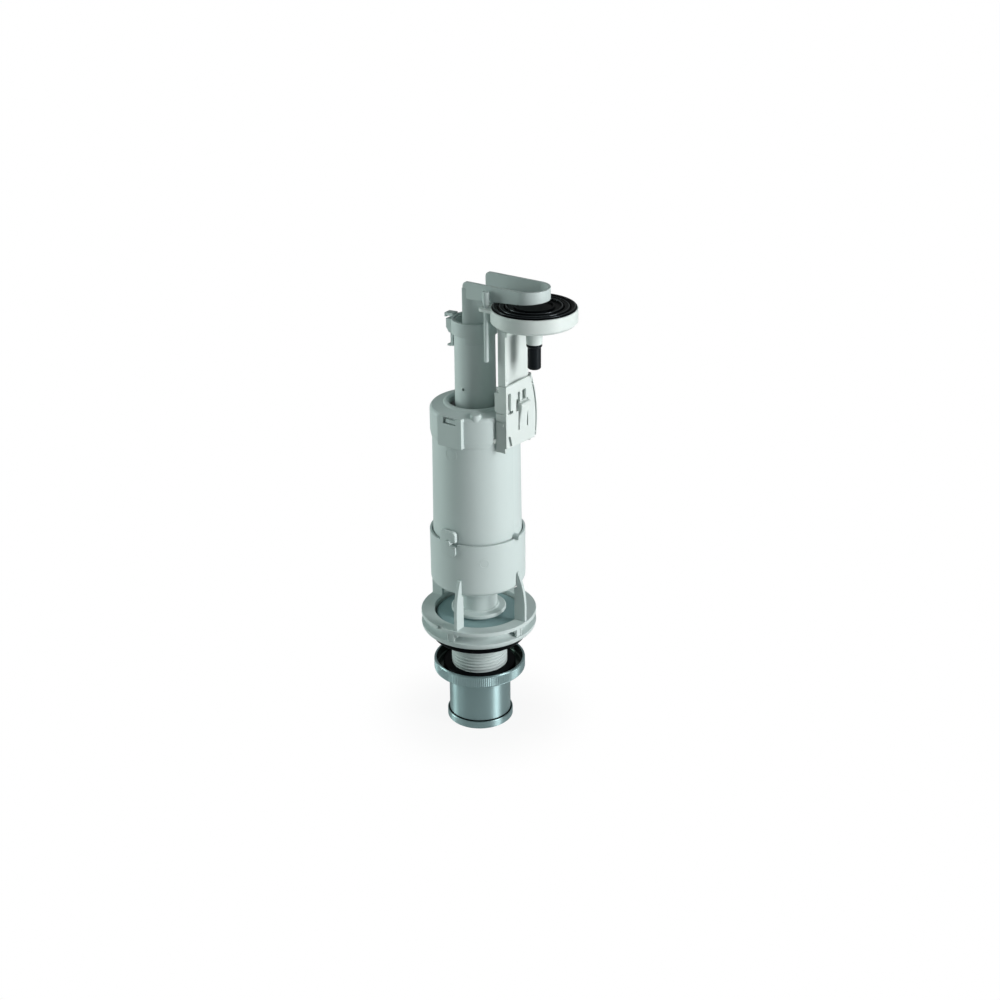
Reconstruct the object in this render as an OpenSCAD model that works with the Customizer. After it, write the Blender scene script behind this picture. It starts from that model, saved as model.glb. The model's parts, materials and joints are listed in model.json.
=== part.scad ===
// Pneumatically worked toilet flush valve for a cistern.
// Millimetres. The origin is on the valve's axis in the plane of the cistern floor, under the gasket.
// +Z points up, and +X points from the valve's axis to the pneumatic actuator.

/* [Base and spigot] */
// Radius of the gasket that lies on the cistern floor
gasket_r = 40; // [38:0.5:42]
// Thickness of the gasket
gasket_h = 6.7; // [5:0.1:8]
// Radius of the spigot over its thread
spigot_r = 23.9; // [22:0.1:25]
// Length of the spigot below the cistern floor's top face
spigot_len = 32.3; // [30:0.1:40]
// Radius of the water way through the spigot
spigot_bore_r = 20.5; // [18:0.1:21]
// Height of the base flange's rounded lip
lip_h = 6.8; // [6:0.1:8]
// Height of the neck between the lip and the fin ring
neck_h = 7; // [5.5:0.1:9]
// Height of the sealing edge over the bowl's floor
seat_h = 8; // [7.4:0.1:9]

/* [Fin ring] */
// Height of the fin ring
ring_h = 3.4; // [2.6:0.1:6]
// Height of the water ports between the fin ring and the sleeve
port_h = 29; // [26:0.2:36]
// Thickness of a fin
fin_t = 2.8; // [2:0.1:4]
// Height of a fin's tip over the sleeve's underside
fin_tip_h = 15; // [8:0.5:20]
// Offset of the two cross fins from the valve's axis
fin_offset = 9.4; // [0:0.2:12]

/* [Sleeve and body] */
// Outer radius of the lower sleeve
sleeve_r = 39.9; // [39.5:0.1:41]
// Height of the lower sleeve
sleeve_h = 46.7; // [40:0.1:56]
// Wall of the lower sleeve
sleeve_wall = 1.9; // [1.5:0.1:2.2]
// Radial play of the body's foot in the sleeve
body_play = 0.5; // [0.3:0.1:1]
// Draft of the body's radius from foot to top
body_draft = 1.7; // [0.5:0.1:2.5]
// Length of the body
body_len = 149.5; // [130:0.5:170]
// Wall of the body
body_wall = 1.8; // [1.4:0.1:2.4]
// Radius of the body's locating pegs
peg_r = 2.5; // [2:0.1:3]
// Reach of the pegs beyond the sleeve
peg_out = 3.1; // [2:0.1:5]

/* [Cap] */
// Wall of the cap's skirt
cap_wall = 1.35; // [1.2:0.05:2]
// Depth of the cap's skirt below the body's top
skirt_h = 20; // [17:0.5:24]
// Height of the opening's rim over the body's top
cap_rise = 9; // [8:0.1:12]
// Outer radius of the rim round the opening
cap_rim_r = 25.5; // [25:0.1:27]
// Radius of the cap's opening
cap_hole_r = 21.8; // [20:0.1:22.4]
// Rise of the flat pads over the skirt
pad_rise = 1.1; // [0.7:0.1:2.5]
// Half width of the cut-out that takes the clip
clip_cut = 20.4; // [19.9:0.1:21.5]

/* [Lift tube] */
// Radius of the overflow tube inside the body
tube_r_low = 16.8; // [16:0.1:17.4]
// Draft of the overflow tube's radius over its upper part
tube_draft = 0.4; // [0.1:0.1:0.8]
// Height of the overflow tube over the body's top
tube_above = 76.5; // [70:0.5:85]
// Wall of the overflow tube
tube_wall = 1.8; // [1.4:0.1:2.2]
// Radius of the carrier's neck
carrier_r = 15.9; // [15.6:0.1:17]
// Radius of the carrier's disc
disc_r = 23.2; // [21:0.1:25]
// Radius of the flush seal
seal_r = 35.5; // [33.5:0.1:36.5]
// Thickness of the flush seal
seal_t = 3; // [2:0.1:4]
// Gap between the float and the body's wall
float_gap = 3; // [1.5:0.5:6]
// Height of the float
float_h = 68; // [50:1:80]
// Travel of the lift tube
lift_travel = 12; // [8:0.5:14]

/* [Yoke] */
// Half width of the yoke over its arms
yoke_y = 16.5; // [15.5:0.1:17]
// Thickness of the yoke's walls
yoke_t = 2; // [1.6:0.1:2.6]
// Reach of the yoke's round end from the axis
yoke_x = 52.5; // [46:0.5:56]
// Height of the arms' top edge over the tube's top
yoke_rise = 35.8; // [33:0.2:40]
// Depth of the arms at the leg
arm_d = 13.8; // [12:0.1:16]
// Rise of the arms' lower edge towards the round end
arm_rise = 4.6; // [3:0.1:6]
// Distance of the guide rod from the middle plane
rod_y = 20; // [19.6:0.1:22]
// Distance of the guide rod from the axis along the arms
rod_x = 25.5; // [22:0.5:27]
// Radius of the guide rod's upper part
rod_r = 2.5; // [2.2:0.1:3]
// Radius of the guide rod's lower part
rod_thin_r = 1.8; // [1.4:0.1:2]

/* [Actuator] */
// Distance of the dish's centre from the valve's axis
dish_x = 57; // [55:0.5:60]
// Radius of the dish
dish_r = 34; // [32:0.5:35]
// Depth of the dish
dish_h = 12.6; // [12:0.1:14]
// Drop of the dish's rim below the arms at the leg
dish_drop = 1.7; // [1.4:0.1:4]
// Radius of the diaphragm's moving crown
crown_r = 22.6; // [20:0.2:23]
// Radius of the diaphragm's fold
fold_r = 28.2; // [26.5:0.1:28.6]
// Length of the boss under the dish
boss_len = 17; // [12:0.5:22]
// Radius of the rubber hose sleeve
hose_r = 5.3; // [5:0.1:6]
// Radius of the air hose that the sleeve takes
hose_bore_r = 3; // [2.6:0.1:3.2]
// Length of the hose sleeve
hose_len = 20.6; // [18:0.2:26]

/* [Mast and clip] */
// Half width of the clip
clip_y = 18.3; // [17.8:0.1:18.8]
// Depth of the clip from its back edges to its front face
clip_d = 10; // [9.6:0.1:11.4]
// Wall of the clip
clip_wall = 1.7; // [1.4:0.1:1.9]
// Height of the clip over the body's top
clip_up = 33; // [30:0.5:40]
// Depth of the clip below the body's top
clip_down = 20.5; // [19:0.5:24]
// Height of the latch tongue
tongue_h = 24; // [20:0.5:26]
// Width of the latch tongue
tongue_w = 10.6; // [9:0.1:11]
// Depth of the mast below the body's top
mast_down = 3; // [0:0.5:10]

/* [Outlet] */
// Radius of the cup nut
cup_r = 39; // [36:0.5:42]
// Height of the cup nut
cup_h = 10.5; // [10:0.5:14]
// Wall of the cup nut
cup_wall = 1.6; // [1.2:0.1:2]
// Gap from the gasket to the cup nut's rim
floor_gap = 23.3; // [22:0.1:28]
// Outer radius of the tail pipe
tail_r = 26.5; // [26:0.1:28]
// Wall of the tail pipe
tail_wall = 1.3; // [1:0.1:1.6]
// Length of the tail pipe below the cup nut
tail_len = 47; // [40:1:60]
// Depth that a flush pipe goes up into the tail pipe
tail_depth = 34; // [25:1:34]
// Radius of the end ring
end_r = 28.4; // [28.2:0.1:30]
// Height of the end ring
end_h = 6.8; // [6:0.1:9]

/* [Hidden] */
$fn = 96;

// Clearances
run_gap = 0.3;
snug_gap = 0.1;
slide_gap = 0.4;
swivel_gap = 0.15;
over = 1;
edge = 0.8;

// Colours
shell_c = [0.74, 0.79, 0.77];
white_c = [0.92, 0.94, 0.93];
yoke_c = [0.66, 0.71, 0.72];
seal_c = [0.42, 0.50, 0.52];
black_c = [0.05, 0.05, 0.06];
chrome_c = [0.62, 0.68, 0.69];

// Radii of the base, from the flush seal outwards
seat_r = seal_r - 6;
opening_r = seal_r + 2.3;
bowl_t = 1.6;
groove_w = 4;
neck_t = 2;
neck_in = opening_r + bowl_t + groove_w;
root_r = neck_in + neck_t;
lug_r = root_r + 1.8;
toe_r = root_r + run_gap;
hook_in = lug_r + run_gap;
hook_out = hook_in + 1.1;
neck_r = root_r + 0.2;
flange_r = hook_out + 0.4;
spigot_root = spigot_r - 0.9;

// Heights of the base
lip_z = gasket_h + lip_h;
neck_z = lip_z + neck_h;
ring_z = neck_z + run_gap;
ring_top = ring_z + ring_h;
bowl_z = gasket_h + 3.2;
groove_z = lip_z - 1.6;
seat_z = bowl_z + seat_h;
lug_h = 2.8;
lug_z = neck_z - lug_h;
hook_span = 8;
bayonet_turn = 12;
hook_angles = [-84, -10.5, 96, 169.5];
notch_turn = 13;

// Heights of the sleeve, the body and the cap
floor_z = ring_top + port_h;
floor_t = 2.2;
rim_z = floor_z + sleeve_h;
sleeve_in = sleeve_r - sleeve_wall;
body_r_low = sleeve_in - body_play;
body_r_top = body_r_low - body_draft;
body_z = floor_z + floor_t;
body_top = body_z + body_len;
peg_z = rim_z + 0.9;
peg_angles = [0, 90, 180, 270];
peg_tip_r = sleeve_r + peg_out;
guide_r = carrier_r + run_gap;
guide_drop = 12.6;
cap_in = body_r_top + 0.35;
cap_r = cap_in + cap_wall;
pad_y = cap_r + pad_rise;
cap_low = body_top - skirt_h;
cap_rim_z = body_top + cap_rise;
shoulder_z = body_top + 2;
cap_t = 2;

// Heights of the lift tube
seal_z = seat_z + run_gap;
seal_top = seal_z + seal_t;
hub_h = 2.1;
disc_t = 3.6;
disc_z = seal_top + hub_h;
tube_z = body_z + 9;
tube_top = body_top + tube_above;
tube_r_top = tube_r_low - tube_draft;
tube_in = tube_r_top - tube_wall;
plug_r = tube_in - snug_gap;
bore_r = plug_r - 2.2;
float_r = body_r_top - body_wall - float_gap;
float_z = tube_z + 18;
float_top = float_z + float_h;

// Heights of the yoke and the actuator
collar_h = 11.5;
collar_wall = 2;
collar_in = tube_r_top + snug_gap;
collar_r = collar_in + collar_wall;
collar_top = tube_top + 1.3;
leg_r = yoke_y + 0.5;
arm_x = 0.9;
arm_top = tube_top + yoke_rise;
arm_low = arm_top - arm_d;
arm_tip_low = arm_low + arm_rise;
dish_top = arm_low - dish_drop;
dish_z = dish_top - dish_h;
dish_wall = 2;
dish_floor = 1.8;
dish_in = dish_r - dish_wall;
ear_top = dish_top - 0.6;
ear_t = 2.3;
ear_r = 5.6;
rod_drop = 45.2;
rod_low = dish_top - rod_drop;
rod_step = dish_top + 1;
rod_top = arm_top - 3.5;
crown_top = dish_top + 1.5;
skirt_z = dish_z + dish_floor + 0.5;
skin_t = 1.6;
boss_z = dish_z - boss_len;
hose_top_r = 6.2;
nipple_len = 10;
hose_z = boss_z - hose_len;
air_r = 1.6;

// Places of the clip and the mast
clip_low = body_top - clip_down;
clip_top = body_top + clip_up;
clip_in_y = clip_y - clip_wall;
plate_x = sqrt(pow(cap_in + swivel_gap + run_gap, 2) - pow(clip_in_y, 2));
clip_x = plate_x + clip_d;
clip_in_x = clip_x - clip_wall;
lip_x = plate_x - 1;
lip_t = 1.6;
lips_z = body_top + 11;
mast_front = clip_in_x - slide_gap;
mast_back = lip_x + lip_t + slide_gap;
mast_y = clip_in_y - slide_gap;
mast_in_r = body_r_top + 0.8;
mast_low = body_top - mast_down;
trough_y = 13;
trough_d = 2;
trough_r = (trough_y * trough_y + trough_d * trough_d) / (2 * trough_d);
slit = 1.5;
tongue_z = clip_low + 12;
tongue_y = 0.4;
rack_pitch = 3.2;
rack_count = 14;

// Heights of the outlet
cup_top = -floor_gap;
cup_low = cup_top - cup_h;
cup_floor = cup_low + cup_wall;
tail_flange_r = tail_r + 2.3;
tail_flange_t = 1.2;
tail_flange_z = cup_floor + swivel_gap;
insert_low = tail_flange_z + tail_flange_t + swivel_gap;
insert_h = 3.4;
tail_low = cup_low - tail_len;
tail_in = tail_r - tail_wall;
lip_seal_h = 3;

// Shared shapes
function arc(cx, cy, r, a0, a1, n = 6) =
    [for (i = [0:n]) let (a = a0 + (a1 - a0) * i / n) [cx + r * cos(a), cy + r * sin(a)]];

module pipe(r_out, r_in, z0, z1) {
    difference() {
        translate([0, 0, z0]) cylinder(r = r_out, h = z1 - z0);
        translate([0, 0, z0 - over]) cylinder(r = r_in, h = z1 - z0 + 2 * over);
    }
}

// A wedge about the axis from angle a0 to a1
module wedge(a0, a1, r, z0, z1) {
    reach = r / cos((a1 - a0) / 4);
    mid = (a0 + a1) / 2;
    translate([0, 0, z0]) linear_extrude(z1 - z0)
        polygon([[0, 0], for (a = [a0, mid, a1]) [reach * cos(a), reach * sin(a)]]);
}

module ring_sector(r_out, r_in, z0, z1, a0, a1) {
    intersection() {
        pipe(r_out, r_in, z0, z1);
        wedge(a0, a1, 2 * r_out, z0 - over, z1 + over);
    }
}

// A flat shape drawn in Y and Z, from x0 to x1
module along_x(x0, x1) {
    translate([x0, 0, 0]) rotate([90, 0, 90]) linear_extrude(x1 - x0) children();
}

// A flat shape drawn in X and Z, from y0 to y1
module along_y(y0, y1) {
    translate([0, y1, 0]) rotate([90, 0, 0]) linear_extrude(y1 - y0) children();
}

module block(x0, x1, y0, y1, z0, z1) {
    translate([x0, y0, z0]) cube([x1 - x0, y1 - y0, z1 - z0]);
}

module flat(x0, x1, y0, y1) {
    translate([x0, y0]) square([x1 - x0, y1 - y0]);
}

module rounded(x0, x1, y0, y1, r) {
    flat(x0 + r, x1 - r, y0, y1);
    flat(x0, x1, y0 + r, y1 - r);
    for (x = [x0 + r, x1 - r], y = [y0 + r, y1 - r]) translate([x, y]) circle(r);
}

module radial_pin(angle, r, r0, r1, z) {
    rotate([0, 0, angle]) translate([r0, 0, z]) rotate([0, 90, 0]) cylinder(r = r, h = r1 - r0);
}

// Base: lip, hollowed neck with bayonet windows and lugs, and bowl with the sealing edge
module base_seat() {
    seat_w = 3;
    lip_r = lip_h - edge / 2;
    play = 1.5;
    cove_turn = 2 * atan((flange_r - neck_r) / neck_h);
    cove_r = neck_h / sin(cove_turn);
    color(shell_c) {
        difference() {
            rotate_extrude() polygon(concat(
                [[spigot_bore_r, gasket_h]],
                arc(flange_r - lip_r, gasket_h + lip_r, lip_r, -90, 0, 8),
                arc(neck_r + cove_r, neck_z, cove_r, 180 + cove_turn, 180),
                [
                    [neck_in, neck_z],
                    [neck_in, groove_z],
                    [opening_r + bowl_t, groove_z],
                    [opening_r + bowl_t, neck_z],
                    [opening_r, neck_z],
                    [opening_r, bowl_z],
                    [seat_r + seat_w / 2, bowl_z],
                    [seat_r + seat_w / 2, seat_z - edge],
                    [seat_r + seat_w / 2 - edge, seat_z],
                    [seat_r - seat_w / 2 + edge, seat_z],
                    [seat_r - seat_w / 2, seat_z - edge],
                    [seat_r - seat_w / 2, bowl_z + 2],
                    [spigot_bore_r, gasket_h + 1]
                ]
            ));
            for (a = hook_angles)
                ring_sector(flange_r + over, root_r, lip_z, neck_z + over,
                    a - hook_span / 2 - bayonet_turn - play, a + hook_span / 2 + play);
        }
        for (a = hook_angles)
            ring_sector(lug_r, root_r - neck_t / 2, lug_z, neck_z,
                a - hook_span / 2 - 1, a + hook_span / 2 + 2 * play);
    }
}

// Spigot: tube under the base that takes the cup nut
module spigot() {
    color(shell_c) rotate_extrude() polygon([
        [spigot_bore_r, -spigot_len], [spigot_root - edge, -spigot_len], [spigot_root, edge - spigot_len],
        [spigot_root, gasket_h], [spigot_bore_r, gasket_h]
    ]);
}

module base_gasket() {
    bevel = 1.6;
    color(black_c) rotate_extrude() polygon([
        [spigot_r + run_gap, 0],
        [gasket_r - bevel, 0],
        [gasket_r, bevel],
        [gasket_r, gasket_h - bevel],
        [gasket_r - bevel, gasket_h],
        [spigot_r + run_gap, gasket_h]
    ]);
}

// One fin: straight inner edge, curved outer edge, drawn in radius and height
module fin_outline(reach) {
    tip_z = floor_z + fin_tip_h;
    bow_h = 13;
    bow_z = ring_top + bow_h;
    tip_r = sleeve_r + 1;
    bow = ((tip_z - bow_z) * (tip_z - bow_z) + (reach - tip_r) * (reach - tip_r)) / (2 * (reach - tip_r));
    sweep = asin((tip_z - bow_z) / bow);
    polygon(concat(
        [[opening_r - 1, ring_z + edge], [reach, ring_z + edge]],
        arc(reach - bow, bow_z, bow, 0, sweep, 8),
        [[opening_r - 1, tip_z]]
    ));
}

module fins() {
    intersection() {
        difference() {
            for (turn = [0, 180]) rotate([0, 0, turn]) {
                along_y(-fin_t / 2, fin_t / 2) fin_outline(flange_r - edge);
                rotate([0, 0, -90]) along_y(fin_offset - fin_t / 2, fin_offset + fin_t / 2)
                    fin_outline(sqrt(flange_r * flange_r - fin_offset * fin_offset) - 2 * edge);
            }
            translate([0, 0, floor_z]) cylinder(r = sleeve_r + slide_gap, h = sleeve_h);
            translate([0, 0, ring_z - over]) cylinder(r = opening_r, h = port_h + ring_h + 3 * over);
        }
        translate([0, 0, ring_z]) cylinder(r = flange_r, h = port_h + sleeve_h);
    }
}

// Upper ring of the base: fins that carry the sleeve, bayonet hooks and rim notches
module fin_ring() {
    toe_z = lip_z + run_gap;
    rib_span = 1.3;
    toe_span = hook_span - 0.8;
    notch_w = 5.4;
    notch_d = 2.6;
    color(shell_c) {
        difference() {
            rotate_extrude() polygon([
                [opening_r, ring_z],
                [flange_r - edge / 4, ring_z],
                [flange_r, ring_z + edge / 4],
                [flange_r, ring_top - edge / 2],
                [flange_r - edge / 2, ring_top],
                [opening_r + edge / 2, ring_top],
                [opening_r, ring_top - edge / 2]
            ]);
            for (a = [hook_angles[0], hook_angles[2]]) rotate([0, 0, a - notch_turn])
                block(flange_r - notch_d, flange_r + over, -notch_w / 2, notch_w / 2,
                    ring_z - over, ring_top + over);
        }
        fins();
        for (a = hook_angles) {
            ring_sector(hook_out - edge / 2, hook_in, toe_z, ring_z + over,
                a - hook_span / 2, a + hook_span / 2);
            for (rib = [a - hook_span / 2 + rib_span, a + hook_span / 2 - rib_span])
                ring_sector(hook_out, hook_in + edge / 4, toe_z, ring_z + over,
                    rib - rib_span / 2, rib + rib_span / 2);
            ring_sector(hook_in + edge / 2, toe_r, toe_z, lug_z - run_gap, a - toe_span / 2, a + toe_span / 2);
        }
    }
}

// Lower sleeve with its latch tab and the notches for the body's pegs
module lower_sleeve() {
    foot_r = 4.5;
    foot_in = body_r_low + snug_gap;
    tab_r = sleeve_r + 1.5;
    tab_low = rim_z - 11;
    tab_high = rim_z + 11;
    tab_left = -9.2;
    tab_right = 6.2;
    tab_corner = 3;
    guide_out = guide_r + 1;
    guide_z = floor_z - guide_drop;
    color(shell_c) difference() {
        union() {
            rotate_extrude() polygon(concat(
                [[guide_r, guide_z], [guide_out, guide_z], [guide_out, floor_z]],
                arc(sleeve_r - foot_r, floor_z + foot_r, foot_r, -90, 0),
                [
                    [sleeve_r, rim_z], [sleeve_in, rim_z], [sleeve_in, body_z + sleeve_in - foot_in],
                    [foot_in, body_z], [guide_r, body_z]
                ]
            ));
            intersection() {
                pipe(tab_r, sleeve_in, tab_low, tab_high);
                along_y(-2 * sleeve_r, 0) rounded(tab_left, tab_right, tab_low, tab_high, tab_corner);
            }
        }
        for (a = peg_angles) radial_pin(a, peg_r + run_gap, sleeve_in - over, peg_tip_r, peg_z);
        block(0, tab_right + over, -tab_r - over, -sleeve_in + 2 * over, peg_z - peg_r - run_gap, peg_z + 1.2);
    }
}

// Body: drafted tube with four locating pegs
module body_cylinder() {
    color(shell_c) difference() {
        union() {
            translate([0, 0, body_z]) cylinder(r1 = body_r_low, r2 = body_r_top, h = body_len);
            for (a = peg_angles) radial_pin(a, peg_r, body_r_top - 2 * over, peg_tip_r, peg_z);
        }
        translate([0, 0, body_z - over])
            cylinder(r1 = body_r_low - body_wall, r2 = body_r_top - body_wall, h = body_len + 2 * over);
    }
}

// Cap: skirt, sloping top, rim of the opening, flat pads with snap windows, stud and clip cut-out
module top_cap() {
    corner = 4;
    pad_left = -10.4;
    pad_right = 13;
    pad_r = 1;
    window_w = 12.4;
    window_x = 1.6;
    window_h = 5.4;
    window_d = 4.5;
    window_top = shoulder_z + 3.2;
    pad_top = shoulder_z + 4;
    skirt_bevel = 4.5;
    turn_in = 60;
    stud_r = 4.4;
    stud_at = cap_r - stud_r - snug_gap;
    stud_angle = -54.6;
    stud_z = body_top + 3;
    stud_h = cap_rim_z - edge / 4 - stud_z;
    lip_in = 1.2;
    cut_r = 6;
    cut_z = shoulder_z + corner * cos(turn_in / 2) - cut_r;
    color(shell_c) difference() {
        union() {
            rotate_extrude() polygon(concat(
                [[cap_in, cap_low], [cap_r - edge, cap_low], [cap_r, cap_low + skirt_bevel]],
                arc(cap_r - corner, shoulder_z, corner, 0, turn_in),
                [
                    [cap_rim_r + 1, cap_rim_z - 1.8],
                    [cap_rim_r, cap_rim_z - 0.6],
                    [cap_rim_r - lip_in, cap_rim_z],
                    [cap_hole_r + lip_in, cap_rim_z],
                    [cap_hole_r, cap_rim_z - lip_in],
                    [cap_hole_r, cap_rim_z - 6],
                    [cap_hole_r + cap_t, cap_rim_z - 6],
                    [cap_rim_r, cap_rim_z - 2 * cap_t],
                    [cap_in - 3, body_top + 1.6],
                    [cap_in - 3, body_top],
                    [cap_in, body_top]
                ]
            ));
            for (turn = [0, 180]) rotate([0, 0, turn]) difference() {
                along_y(-pad_y, 0) rounded(pad_left, pad_right, cap_low, pad_top, pad_r);
                translate([0, 0, cap_low - over]) cylinder(r = cap_in + cap_t / 4, h = 2 * skirt_h);
            }
            rotate([0, 0, stud_angle]) translate([stud_at, 0, stud_z]) {
                cylinder(r = stud_r, h = stud_h - edge);
                translate([0, 0, stud_h - edge]) cylinder(r1 = stud_r, r2 = stud_r - edge, h = edge);
            }
        }
        for (turn = [0, 180]) rotate([0, 0, turn]) difference() {
            block(window_x - window_w / 2, window_x + window_w / 2, -pad_y - over, window_d - pad_y,
                window_top - window_h, window_top);
            block(window_x - window_w / 2 + 2.2, window_x + window_w / 2 - 0.6,
                edge - pad_y, 2 * window_d - pad_y, window_top - window_h + 0.6, window_top - 1.5);
        }
        difference() {
            along_x(0, 2 * cap_r) difference() {
                flat(-clip_cut - cut_r, clip_cut + cut_r, cap_low - over, cap_rim_z + over);
                for (side = [-1, 1]) {
                    for (z = [cap_low + cut_r, cut_z]) translate([side * (clip_cut + cut_r), z]) circle(cut_r);
                    flat(side > 0 ? clip_cut : -clip_cut - cut_r - over,
                        side > 0 ? clip_cut + cut_r + over : -clip_cut, cap_low + cut_r, cut_z);
                }
            }
            translate([0, 0, cap_low - 2 * over]) cylinder(r = cap_in, h = 3 * skirt_h);
        }
    }
}

// Clip bracket: pocket for the mast, keyed into the cap, with slots and bowed wings
module clip_outline() {
    bow_y = 23.4;
    bow_h = 15;
    bow_r = 90;
    top_turn = 26;
    low_turn = -10.7;
    polygon(concat(
        [
            [-clip_y, clip_top], [-clip_y, clip_low + 1.7], [-clip_y + 5, clip_low + 0.7],
            [bow_y - 4, clip_low - 1.2]
        ],
        arc(bow_y - bow_r, clip_low + bow_h, bow_r, low_turn, top_turn, 12),
        [[clip_y - 3.6, clip_top]]
    ));
}

module clip_slots() {
    slot_y = -15.8;
    slot_w = 4.2;
    slot_low = clip_top - 23.6;
    slot_top = clip_top - 6.6;
    head_low = tongue_z + tongue_h;
    head_top = head_low + 8.6;
    rounded(slot_y, slot_y + slot_w, slot_low, slot_top, edge);
    rounded(slot_y + slot_w / 2, slot_y + 1.7 * slot_w, slot_low - edge, slot_low + 2 * edge, edge / 2);
    flat(tongue_y - slit - 3, tongue_y + over / 2, head_low - 7.2, head_low + 3);
    flat(tongue_y - slit - 1, tongue_y + over / 2, head_low, head_top);
    flat(tongue_y + 4, tongue_y + 8.8, head_low - over, head_top);
    flat(tongue_y - slit, tongue_y + tongue_w + slit, tongue_z, head_low + run_gap);
    polygon([
        [-clip_y + 2.8, clip_low + 10.9], [-clip_y + 6, clip_low + 10],
        [-clip_y + 8, clip_low + 1.6], [-clip_y + 5.4, clip_low + 2.2]
    ]);
}

// One side plate of the clip, with two grooves across its outer face
module clip_side(side) {
    step_z = clip_top - 6;
    toe_z = clip_low - 2.8;
    notch_z = clip_low + 10.6;
    groove_h = 1.5;
    groove_d = edge;
    groove_z = 2.2;
    groove_pitch = 7.2;
    y0 = side > 0 ? clip_in_y : -clip_y;
    y1 = side > 0 ? clip_y - groove_d : -clip_y - over;
    difference() {
        along_y(y0, y0 + clip_wall) polygon([
            [plate_x, toe_z], [clip_x - 1.3, toe_z], [clip_x - 1.3, notch_z], [clip_x - edge / 2, notch_z],
            [clip_x - edge / 2, clip_top], [plate_x + 3, clip_top], [plate_x + 3, step_z], [lip_x, step_z],
            [lip_x, lips_z], [plate_x, lips_z]
        ]);
        for (z = [body_top + groove_z, body_top + groove_z + groove_pitch])
            block(plate_x - 2 * over, clip_in_x, y1, y1 + groove_d + over, z, z + groove_h);
    }
    lip_y = side > 0 ? clip_in_y - 2.5 : -clip_in_y - edge;
    block(lip_x, lip_x + lip_t, lip_y, lip_y + 2.5 + edge, lips_z, step_z);
    nub_y = side > 0 ? clip_y - edge : -clip_y - edge;
    block(clip_in_x - 2, clip_in_x - edge, nub_y, nub_y + 2 * edge, body_top, body_top + 1.6);
}

module clip_bracket() {
    key_z = clip_low + 4;
    key_h = 4;
    key_from = 27.5;
    key_to = asin((clip_cut - snug_gap) / cap_r);
    wing_t = 1.1;
    wing_d = 4.8;
    wing_low = clip_low + 1;
    wing_high = clip_top - 10;
    color(white_c) {
        difference() {
            along_x(clip_in_x, clip_x) clip_outline();
            along_x(clip_in_x - over, clip_x + over) clip_slots();
        }
        for (side = [-1, 1]) {
            clip_side(side);
            ring_sector(cap_r - snug_gap, cap_in + swivel_gap, key_z, key_z + key_h,
                side > 0 ? key_from : -key_to, side > 0 ? key_to : -key_from);
        }
        for (out = [2.4, 5]) along_x(clip_in_x - wing_d, clip_in_x) difference() {
            translate([out, 0]) clip_outline();
            translate([out - wing_t, 0]) clip_outline();
            flat(-2 * clip_y, clip_in_y, clip_low - 4 * over, clip_top + over);
        }
        block(clip_in_x - wing_d + edge, clip_in_x, clip_in_y, clip_y + 8.7, wing_low, wing_low + wing_t);
        block(clip_in_x - wing_d + edge, clip_in_x, clip_in_y, clip_y + 4.5, wing_high, wing_high + wing_t);
    }
}

// Latch tongue in the clip's front wall, with its finger ledge
module height_latch() {
    ledge_x = 3.8;
    ledge_h = 3.6;
    ledge_left = 2.4;
    ledge_top = tongue_z + tongue_h - 1;
    color(white_c) {
        block(clip_in_x, clip_x, tongue_y, tongue_y + tongue_w, tongue_z + run_gap, tongue_z + tongue_h);
        along_y(tongue_y - ledge_left, tongue_y + tongue_w) polygon([
            [clip_x - edge, ledge_top - ledge_h - 2], [clip_x + ledge_x, ledge_top - ledge_h],
            [clip_x + ledge_x, ledge_top - edge], [clip_x + ledge_x - edge, ledge_top], [clip_x - edge, ledge_top]
        ]);
    }
}

// Overflow tube with the shoulder that carries the float
module overflow_tube() {
    shoulder_t = 2.4;
    hole_r = 1.2;
    hole_z = body_top + 22;
    color(shell_c) difference() {
        union() {
            translate([0, 0, tube_z]) cylinder(r = tube_r_low, h = body_top - tube_z);
            translate([0, 0, body_top]) cylinder(r1 = tube_r_low, r2 = tube_r_top, h = tube_above);
            translate([0, 0, float_z - shoulder_t]) cylinder(r = tube_r_low + 3, h = shoulder_t);
        }
        translate([0, 0, tube_z - over]) cylinder(r = tube_in, h = tube_top - tube_z + 2 * over);
        radial_pin(-90, hole_r, 0, 2 * tube_r_low, hole_z);
    }
}

// Neck and disc under the overflow tube that carry the flush seal
module seal_carrier() {
    plug = 14;
    fillet = 1.2;
    disc_top = disc_z + disc_t;
    foot_r = carrier_r + edge;
    color(shell_c) rotate_extrude() polygon(concat(
        [
            [bore_r, seal_top], [disc_r - 4, seal_top], [disc_r - 4, disc_z], [disc_r - edge, disc_z],
            [disc_r, disc_z + edge], [disc_r, disc_top - edge], [disc_r - edge, disc_top]
        ],
        arc(foot_r + fillet, disc_top + fillet, fillet, 270, 180),
        [
            [carrier_r, disc_top + fillet], [carrier_r, tube_z], [plug_r, tube_z], [plug_r, tube_z + plug],
            [bore_r, tube_z + plug]
        ]
    ));
}

module flush_seal() {
    color(seal_c) rotate_extrude() polygon([
        [bore_r, seal_z], [seal_r - edge, seal_z], [seal_r, seal_z + edge],
        [seal_r, seal_top - edge], [seal_r - edge, seal_top], [bore_r, seal_top]
    ]);
}

// Snap-in retainer that holds the seal on the carrier
module seal_retainer() {
    flange_t = 2.4;
    retainer_r = bore_r + 6;
    stem_wall = 2.2;
    color(shell_c) rotate_extrude() polygon([
        [bore_r - stem_wall, seal_z - flange_t], [retainer_r - edge, seal_z - flange_t],
        [retainer_r, seal_z - flange_t + edge], [retainer_r, seal_z], [bore_r - snug_gap, seal_z],
        [bore_r - snug_gap, disc_z + disc_t], [bore_r - stem_wall, disc_z + disc_t]
    ]);
}

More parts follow.
